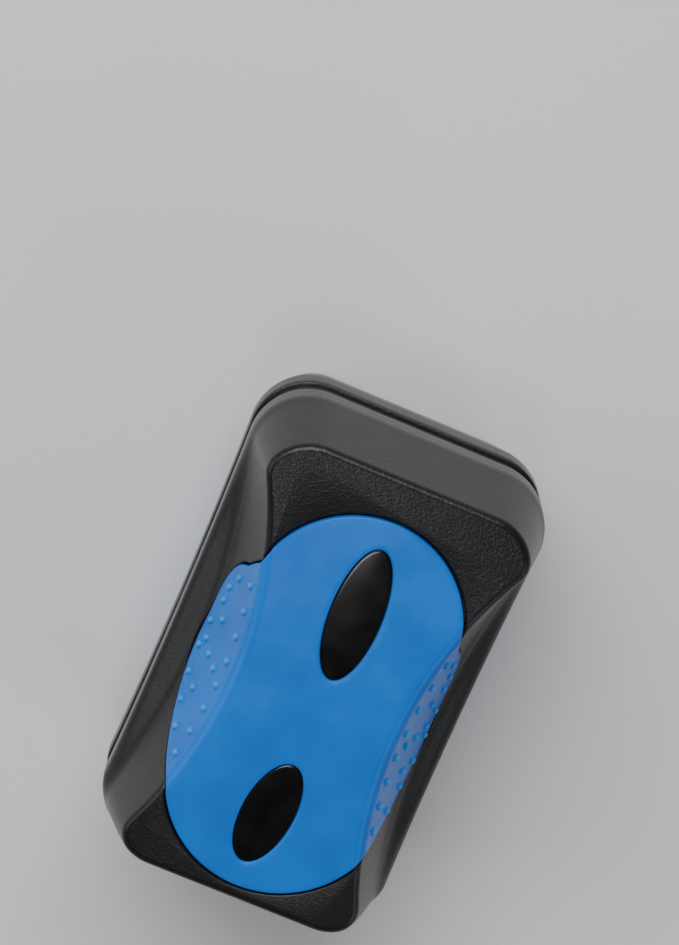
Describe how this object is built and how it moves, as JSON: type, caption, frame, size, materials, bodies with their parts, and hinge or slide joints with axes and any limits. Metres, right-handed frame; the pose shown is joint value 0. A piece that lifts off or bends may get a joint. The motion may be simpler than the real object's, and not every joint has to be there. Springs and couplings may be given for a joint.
{
  "type": "magnetic aquarium glass cleaner",
  "caption": "Magnetic glass cleaner for an aquarium: a dry outer half and a floating wet half with waisted grips, thumb panels and wiping pads that clamp a pane.",
  "frame": {"origin": "middle of the contact plane between the two wiping pads, where the pane of glass goes", "axes": "+Z from the floating wet half to the dry outer half, +Y along the cleaner towards its large oval inlay, +X across it"},
  "size_m": [0.0612, 0.098, 0.063],
  "materials": {
    "housing": "fine spark-eroded grain, black",
    "grip": "satin blue thermoplastic rubber, over-moulded",
    "inlay": "smooth black, low gloss",
    "plate": "plain moulded black",
    "screws": "stainless steel",
    "ferrite": "ground sintered ferrite, dark grey",
    "yoke": "zinc-plated mild steel",
    "adhesive": "black double-sided tape",
    "felt": "needled charcoal felt",
    "foam": "closed-cell foam",
    "scrub": "black hook-and-loop scrubbing pad",
    "seal": "black nitrile rubber"
  },
  "bodies": {
    "inner_half": {"inner_housing": "housing", "inner_grip_cover": "grip", "inner_large_oval_inlay": "inlay", "inner_small_oval_inlay": "inlay", "inner_base_plate": "plate", "inner_base_screws": "screws", "inner_magnet_front": "ferrite", "inner_magnet_rear": "ferrite", "inner_yoke_plate": "yoke", "inner_pad_adhesive": "adhesive", "inner_scrub_pad": "scrub", "inner_float_foam": "foam", "inner_seal_ring": "seal"},
    "outer_half": {"outer_housing": "housing", "outer_grip_cover": "grip", "outer_large_oval_inlay": "inlay", "outer_small_oval_inlay": "inlay", "outer_base_plate": "plate", "outer_base_screws": "screws", "outer_magnet_front": "ferrite", "outer_magnet_rear": "ferrite", "outer_yoke_plate": "yoke", "outer_pad_adhesive": "adhesive", "outer_felt_pad": "felt", "outer_foam_spacer": "foam"}
  },
  "joints": [
    {"name": "glass_gap_slide", "type": "slide", "parent": "inner_half", "child": "outer_half", "axis": [0, 0, 1], "range_m": [0, 0.012]}
  ]
}
